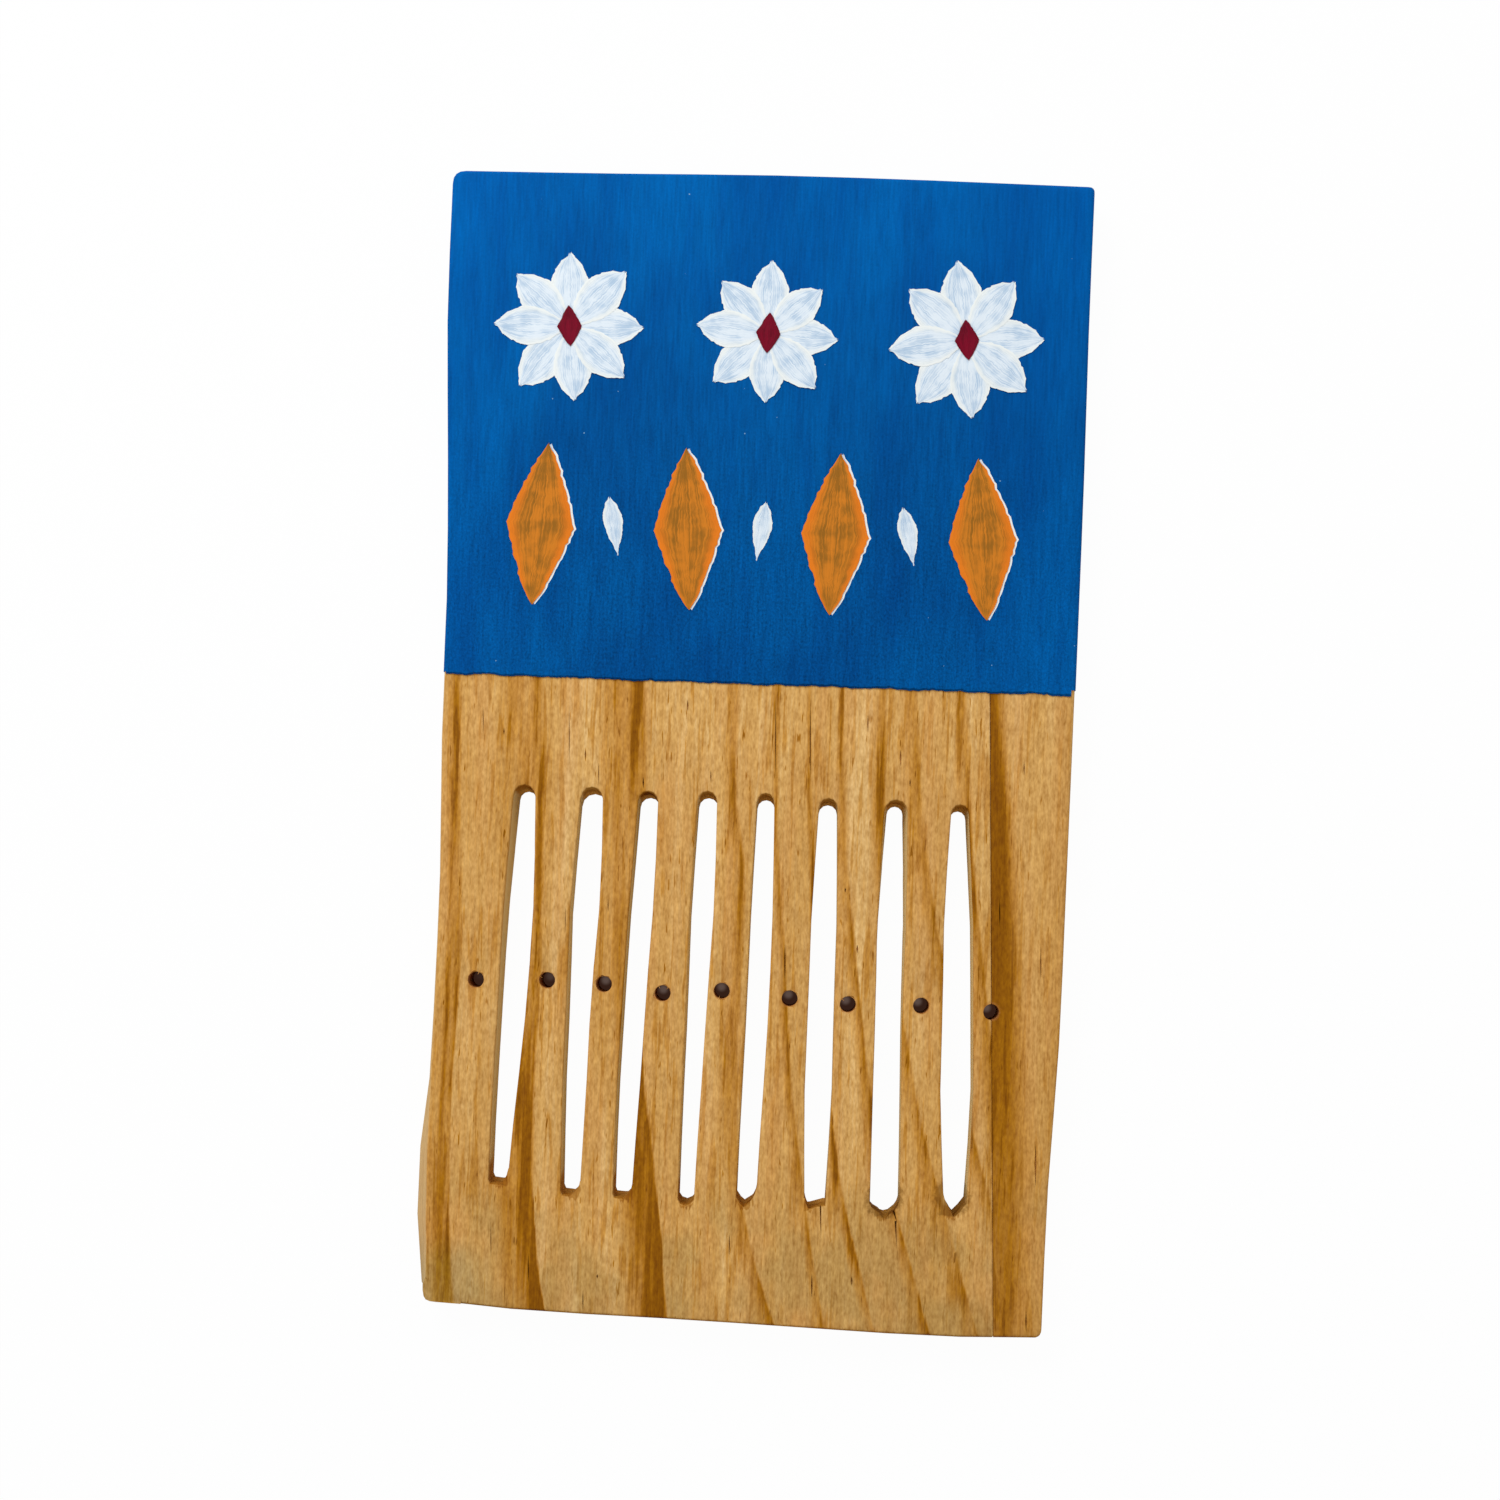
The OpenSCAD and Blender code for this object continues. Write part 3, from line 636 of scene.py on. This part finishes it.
material, tree, shader, in_mm = new_material("blue_paint")
axes = add_node(tree, "ShaderNodeSeparateXYZ", {0: in_mm}).outputs
height = axes["Y"]
to_side = calc(tree, "ABSOLUTE", axes["X"])
brush_marks = stretched_noise(tree, in_mm, (1.4, 0.03, 1.4), 4.0, 0.6)
wood_through = stretched_noise(tree, in_mm, (2.6, 0.2, 2.6), 1.5, 0.8)
grit = stretched_noise(tree, in_mm, (3.0, 2.2, 3.0), 1.5, 0.9)
patches = stretched_noise(tree, in_mm, (0.07, 0.03, 0.07), 2.0)
purple = ease(tree, stretched_noise(tree, in_mm, (0.3, 0.05, 0.3), 3.0), 0.45, 0.7, 0.0, 0.3)
blue = tint(tree, ease(tree, patches, 0.35, 0.65), (0.0, 0.078, 0.30, 1), (0.0, 0.102, 0.36, 1))
blue = tint(tree, purple, blue, (0.0, 0.055, 0.25, 1))
fleck = add_node(tree, "ShaderNodeTexVoronoi", {"Vector": in_mm, "Scale": 0.4}).outputs
fleck_kind = add_node(tree, "ShaderNodeSeparateColor", {0: fleck["Color"]}).outputs
fleck_size = ease(tree, fleck_kind["Red"], 0.6, 1.0, 0.0, 0.05)
pale_fleck = calc(tree, "LESS_THAN", fleck["Distance"], fleck_size)
tone_and_light = calc(tree, "MULTIPLY", brush_marks, 0.26)
for marks, weight in ((wood_through, 0.6), (grit, ease(tree, height, 60.0, 20.0, 0.4, 1.1))):
    part = calc(tree, "MULTIPLY", calc(tree, "SUBTRACT", marks, 0.5), weight)
    tone_and_light = calc(tree, "ADD", tone_and_light, part)
# Painted light: the paint is drawn paler towards the top and towards both sides, as the light falls
# there.
tone_and_light = calc(tree, "ADD", tone_and_light, ease(tree, height, 30.0, 96.0, 0.66, 0.92))
tone_and_light = calc(tree, "ADD", tone_and_light, ease(tree, to_side, 28.0, 48.0, 0.0, 0.14))
# Along the ridge at the border the paint is drawn darker: partly the thicker paint, partly painted shade
# under the ridge.
border_line = add_node(tree, "ShaderNodeAttribute", attribute_name="at_border").outputs["Fac"]
tone_and_light = calc(tree, "MULTIPLY", tone_and_light, ease(tree, border_line, 0.2, 1.0, 1.0, 0.45))
blue = tint(tree, 1.0, blue, add_node(tree, "ShaderNodeCombineXYZ",
                                      {0: tone_and_light, 1: tone_and_light, 2: tone_and_light}).outputs[0], "MULTIPLY")
blue = tint(tree, calc(tree, "MULTIPLY", pale_fleck, 0.7), blue, (0.22, 0.42, 0.60, 1))
tree.links.new(blue, shader.inputs["Base Color"])
relief = calc(tree, "ADD", brush_marks, calc(tree, "MULTIPLY", wood_through, 0.8))
tree.links.new(add_node(tree, "ShaderNodeBump",
                        {"Height": relief, "Strength": 0.6, "Distance": 0.06 * MM}).outputs[0],
               shader.inputs["Normal"])
tree.links.new(ease(tree, brush_marks, 0.2, 0.8, 0.70, 0.82), shader.inputs["Roughness"])
shader.inputs["Specular IOR Level"].default_value = 0.03
coat.data.materials.append(material)
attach(coat, "root")
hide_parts("blue_coat")


# ---- White stars and drops ----
# Thick white paint laid with a flat brush: each ray is one stroke, pressed out from the middle,
# with a raised rim and bristle marks. Small drops and thin under-strokes are in the same white.
squeeze = 20


def brush_stroke(name, length, width, outline, relief, ragged_by, tip_by, seed):
    """One brush stroke lying along X from the origin, with its rim, bristle marks and ends."""
    rows, bristles = 44, 14
    bpy.ops.mesh.primitive_grid_add(x_subdivisions=rows, y_subdivisions=bristles, size=1,
                                    location=(0, 0, 0), calc_uvs=True)
    stroke = bpy.context.object
    stroke.name = stroke.data.name = name
    bpy.ops.object.mode_set(mode="EDIT")
    bpy.ops.transform.translate(value=(0.5, 0, 0))
    bpy.ops.transform.resize(value=(length / squeeze, width, 1), center_override=(0, 0, 0))
    bpy.ops.transform.translate(value=(0, seed * 7 * MM, 0))
    bpy.ops.object.mode_set(mode="OBJECT")
    bpy.ops.object.transform_apply(location=True, rotation=True, scale=True)
    tips = stroke.vertex_groups.new(name="tips")
    for point in stroke.data.vertices:
        share = point.co.x * squeeze / length
        tips.add([point.index], max(0.0, (share - 0.72) / 0.28) ** 1.5, "REPLACE")
    roughen(stroke, "Z", relief * 0.9, 0.55 * MM)
    roughen(stroke, "X", tip_by / squeeze, 0.55 * MM, "tips")
    bpy.ops.object.mode_set(mode="EDIT")
    bpy.ops.mesh.select_all(action="SELECT")
    bpy.ops.transform.translate(value=(0, -seed * 7 * MM, 0))
    bpy.ops.transform.resize(value=(squeeze, 1, 1), center_override=(0, 0, 0))
    bpy.ops.mesh.select_less()
    bpy.ops.transform.translate(value=(0, 0, relief * 1.3))
    bpy.ops.mesh.select_less()
    bpy.ops.transform.translate(value=(0, 0, -relief * 0.4))
    bpy.ops.mesh.select_mode(type="VERT")
    grid = bmesh.from_edit_mesh(stroke.data)
    for row in range(rows + 1):
        bpy.ops.mesh.select_all(action="DESELECT")
        for point in grid.verts:
            point.select = point.index % (rows + 1) == row
        grid.select_flush_mode()
        bpy.ops.transform.resize(value=(1, outline(row / rows), 1), center_override=(0, 0, 0))
    bpy.ops.mesh.select_all(action="SELECT")
    bpy.ops.mesh.select_mode(type="EDGE")
    bpy.ops.mesh.region_to_loop()
    bpy.ops.mesh.extrude_region_move(
        TRANSFORM_OT_translate={"value": (0, 0, -relief * 0.8)})
    bpy.ops.mesh.edge_face_add()
    bpy.ops.mesh.select_all(action="SELECT")
    bpy.ops.mesh.normals_make_consistent(inside=False)
    bpy.ops.object.mode_set(mode="OBJECT")
    roughen(stroke, "X", ragged_by, 1.1 * MM)
    roughen(stroke, "Y", ragged_by, 0.8 * MM)
    return stroke


def lay_stroke(master, place, turn, size=1.0, height=0.0):
    """A copy of a stroke with its own mesh, turned, sized and put down on the board."""
    stroke = master.copy()
    stroke.data = master.data.copy()
    bpy.context.scene.collection.objects.link(stroke)
    take_up(stroke)
    bpy.ops.transform.resize(value=(size, size, 1), center_override=(0, 0, 0))
    stroke.rotation_euler = (0, 0, turn)
    stroke.location = (place[0], place[1], height)
    bpy.ops.object.transform_apply(location=True, rotation=True, scale=True)
    return stroke


def join_strokes(name, strokes, masters):
    """One named piece from its strokes; the masters are taken away."""
    bpy.ops.object.select_all(action="DESELECT")
    for stroke in strokes:
        stroke.select_set(True)
    bpy.context.view_layer.objects.active = strokes[0]
    bpy.ops.object.join()
    piece = bpy.context.object
    piece.name = piece.data.name = name
    bpy.ops.object.shade_smooth_by_angle(angle=math.radians(50))
    for master in masters:
        bpy.data.objects.remove(master)
    return piece


def leaf_outline(widest):
    """A stroke that swells from its start to its widest place and closes in a point."""
    power = math.log(0.5) / math.log(widest)
    return lambda share: max(0.07, math.sin(math.pi * share ** power) ** 0.8)


def lozenge_outline(share):
    return max(0.03, (1 - abs(2 * share - 1)) ** 0.75)


pencil = random.Random(4)
row_middle = board_middle.x
star_row, star_pitch, star_reach = 65 * MM + board_middle.y, 31 * MM, 12 * MM
star_turns, star_sizes = [4, -3, 6], [1, 0.94, 1.03]
lozenge_row, lozenge_pitch = 34 * MM + board_middle.y, 23 * MM
lozenge_size = (25 * MM, 10.5 * MM)
lozenge_turns = [-4, 3, -2, 5]
drop_turns = [10, -8, 12]
white_relief = 0.09 * MM

ray = brush_stroke("ray", star_reach, 6.4 * MM, leaf_outline(0.56), white_relief, 0.55 * MM,
                   1.6 * MM, 1)
drop = brush_stroke("drop", 9 * MM, 3 * MM, leaf_outline(0.62), white_relief, 0.4 * MM,
                    1.2 * MM, 2)
under = brush_stroke("under", lozenge_size[0], lozenge_size[1], lozenge_outline, 0.02 * MM,
                     0.7 * MM, 1.0 * MM, 3)
strokes = []
for star in range(3):
    middle = Vector((row_middle + (star - 1) * star_pitch, star_row))
    for arm in range(8):
        turn = math.radians(90 + star_turns[star] + arm * 45 + pencil.uniform(-4, 4))
        strokes.append(lay_stroke(ray, middle, turn, star_sizes[star] * pencil.uniform(0.93, 1.0),
                                  coat_height + ((arm * 3) % 8) * 0.012 * MM))
for gap in range(3):
    middle = Vector((row_middle + (gap - 1) * lozenge_pitch, lozenge_row))
    turn = math.radians(90 + drop_turns[gap])
    start = middle - Vector((math.cos(turn), math.sin(turn))) * 4.5 * MM
    strokes.append(lay_stroke(drop, start, turn, 1.0, coat_height))
for mark in range(4):
    middle = Vector((row_middle + (mark - 1.5) * lozenge_pitch + 0.35 * MM, lozenge_row))
    turn = math.radians(90 + lozenge_turns[mark])
    start = middle - Vector((math.cos(turn), math.sin(turn))) * lozenge_size[0] / 2
    strokes.append(lay_stroke(under, start, turn, 1.0, coat_height))
stars = join_strokes("white_stars", strokes, [ray, drop, under])

# Brushed paint shows its hairs: streaks along the stroke, paler or deeper near the rim.
hair_streaks, given, out = new_group(
    "brush hairs", [("Along", VECTOR)], [("Streaks", FLOAT), ("Rim", FLOAT)])
parts = add_node(hair_streaks, "ShaderNodeSeparateXYZ", {0: given["Along"]}).outputs
off_middle = calc(hair_streaks, "MULTIPLY",
                  calc(hair_streaks, "ABSOLUTE",
                       calc(hair_streaks, "SUBTRACT", parts["Y"], 0.5)), 2.0)
hair_streaks.links.new(stretched_noise(hair_streaks, given["Along"], (1.6, 26.0, 1.0), 3.0, 0.6),
                       out.inputs["Streaks"])
hair_streaks.links.new(ease(hair_streaks, off_middle, 0.55, 0.95), out.inputs["Rim"])


def brushed_paint(name, thin, thick, rim, streak_range, gloss):
    """Brush paint: thin between the hairs, thick on them, and heaped up at the rim."""
    material, tree, shader, in_mm = new_material(name)
    along = add_node(tree, "ShaderNodeUVMap", uv_map="UVMap").outputs[0]
    hairs = use_group(tree, hair_streaks, {"Along": along})
    smudge = stretched_noise(tree, in_mm, (0.5, 0.5, 0.5), 2.0)
    cover = calc(tree, "ADD", hairs["Streaks"],
                 calc(tree, "MULTIPLY", calc(tree, "SUBTRACT", smudge, 0.5), 0.5))
    colour = tint(tree, ease(tree, cover, *streak_range), thin, thick)
    colour = tint(tree, calc(tree, "MULTIPLY", hairs["Rim"], 0.8), colour, rim)
    tree.links.new(colour, shader.inputs["Base Color"])
    tree.links.new(add_node(tree, "ShaderNodeBump",
                            {"Height": hairs["Streaks"], "Strength": 0.5,
                             "Distance": 0.08 * MM}).outputs[0], shader.inputs["Normal"])
    tree.links.new(ease(tree, hairs["Streaks"], 0.2, 0.8, gloss, gloss + 0.12),
                   shader.inputs["Roughness"])
    shader.inputs["Specular IOR Level"].default_value = 0.07
    return material


stars.data.materials.append(brushed_paint(
    "white_paint", (0.42, 0.56, 0.72, 1), (0.74, 0.82, 0.89, 1), (0.86, 0.88, 0.84, 1),
    (0.3, 0.6), 0.45))
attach(stars, "root")
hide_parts("white_brushwork")


# ---- Red hearts ----
# One short dab of thick dark red in the heart of each star, laid once the white was dry and
# drawn out to a point at both ends.
dab = brush_stroke("dab", 6.2 * MM, 3.8 * MM, lozenge_outline, 0.08 * MM, 0.3 * MM, 0.6 * MM, 4)
dabs = []
for star in range(3):
    turn = math.radians(90 + star_turns[star])
    middle = Vector((row_middle + (star - 1) * star_pitch, star_row))
    start = middle - Vector((math.cos(turn), math.sin(turn))) * 3.1 * MM
    dabs.append(lay_stroke(dab, start, turn, 1.0, coat_height + 0.19 * MM))
hearts = join_strokes("red_hearts", dabs, [dab])
hearts.data.materials.append(brushed_paint(
    "red_paint", (0.10, 0.001, 0.010, 1), (0.19, 0.001, 0.016, 1), (0.14, 0.001, 0.012, 1),
    (0.3, 0.6), 0.35))
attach(hearts, "root")
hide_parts("red_brushwork")


# ---- Orange lozenges ----
# Long diamonds in orange, each pulled down in one stroke. The middle of the stroke ran thin
# and shows an olive brown, and the rims are bright where the paint was pushed aside.
diamond = brush_stroke("diamond", lozenge_size[0], lozenge_size[1], lozenge_outline, 0.1 * MM,
                       0.7 * MM, 1.6 * MM, 5)
diamonds = []
for mark in range(4):
    middle = Vector((row_middle + (mark - 1.5) * lozenge_pitch, lozenge_row))
    turn = math.radians(90 + lozenge_turns[mark])
    start = middle - Vector((math.cos(turn), math.sin(turn))) * lozenge_size[0] / 2
    diamonds.append(lay_stroke(diamond, start, turn, 1.0, coat_height + 0.05 * MM))
lozenges = join_strokes("orange_lozenges", diamonds, [diamond])
lozenges.data.materials.append(brushed_paint(
    "orange_paint", (0.30, 0.12, 0.012, 1), (0.62, 0.20, 0.016, 1), (0.82, 0.20, 0.012, 1),
    (0.35, 0.65), 0.4))
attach(lozenges, "root")
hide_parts("orange_brushwork")


# ---- Table and light ----
# A plain white table in a pale room: soft light from the upper left, and a faint even light from all
# round. Under each eye the table is painted dark brown as painted shade seen through the hole, with a
# painted sheen towards its upper left, faint in the eyes furthest left.
bpy.ops.mesh.primitive_plane_add(size=4, location=(0, 0, -0.1 * MM))
table = bpy.context.object
table.name = "table"
bpy.ops.object.transform_apply(location=True, rotation=True, scale=True)
material, tree, shader, in_mm = new_material("table")
tree.nodes.remove(shader)
surface = tree.nodes["Material Output"].inputs["Surface"]
under_eye = ease(tree, nearest_distance(tree, in_mm, eye_centres), 2.2, 1.8)
glint_places = [(x - 0.25, y + 0.35) for x, y in eye_centres]
glint = ease(tree, nearest_distance(tree, in_mm, glint_places), 1.0, 0.2)
across = add_node(tree, "ShaderNodeSeparateXYZ", {0: in_mm}).outputs["X"]
glint = calc(tree, "MULTIPLY", glint, ease(tree, across, -34.0, -26.0, 0.1, 1.0))
dark = tint(tree, glint, (0.034, 0.014, 0.009, 1), (0.105, 0.07, 0.058, 1))
rays = add_node(tree, "ShaderNodeLightPath").outputs
seen = calc(tree, "ADD", rays["Is Camera Ray"],
            calc(tree, "ADD", rays["Is Glossy Ray"], rays["Is Transmission Ray"]), True)
bright = calc(tree, "MULTIPLY", seen, 0.97)
white = add_node(tree, "ShaderNodeEmission",
                 {"Color": tint(tree, under_eye, (1, 1, 1, 1), dark),
                  "Strength": 1.0})
paper = add_node(tree, "ShaderNodeBsdfDiffuse",
                 {"Color": tint(tree, under_eye, (0.8, 0.8, 0.8, 1), eye_painted_shade)})
mixed = add_node(tree, "ShaderNodeMixShader",
                 {0: bright, 1: paper.outputs[0], 2: white.outputs[0]})
tree.links.new(mixed.outputs[0], surface)
table.data.materials.append(material)

lamp_data = bpy.data.lights.new("window", "AREA")
lamp_data.size = 0.35
lamp_data.energy = 2.6
lamp = bpy.data.objects.new("window", lamp_data)
lamp.location = (-0.24, 0.42, 0.44)
lamp.rotation_euler = (Vector((0, 0, 0)) - lamp.location).to_track_quat("-Z", "Y").to_euler()
bpy.context.scene.collection.objects.link(lamp)

world = bpy.data.worlds.new("room")
world.use_nodes = True
bpy.context.scene.world = world
tree = world.node_tree
rays = add_node(tree, "ShaderNodeLightPath").outputs
seen = calc(tree, "ADD", rays["Is Camera Ray"],
            calc(tree, "ADD", rays["Is Glossy Ray"], rays["Is Transmission Ray"]), True)
level = ease(tree, seen, 0.0, 1.0, 0.6, 1.0)
tree.links.new(level, tree.nodes["Background"].inputs["Strength"])
tree.nodes["Background"].inputs["Color"].default_value = (1, 1, 1, 1)
bpy.context.scene.view_settings.view_transform = "Standard"
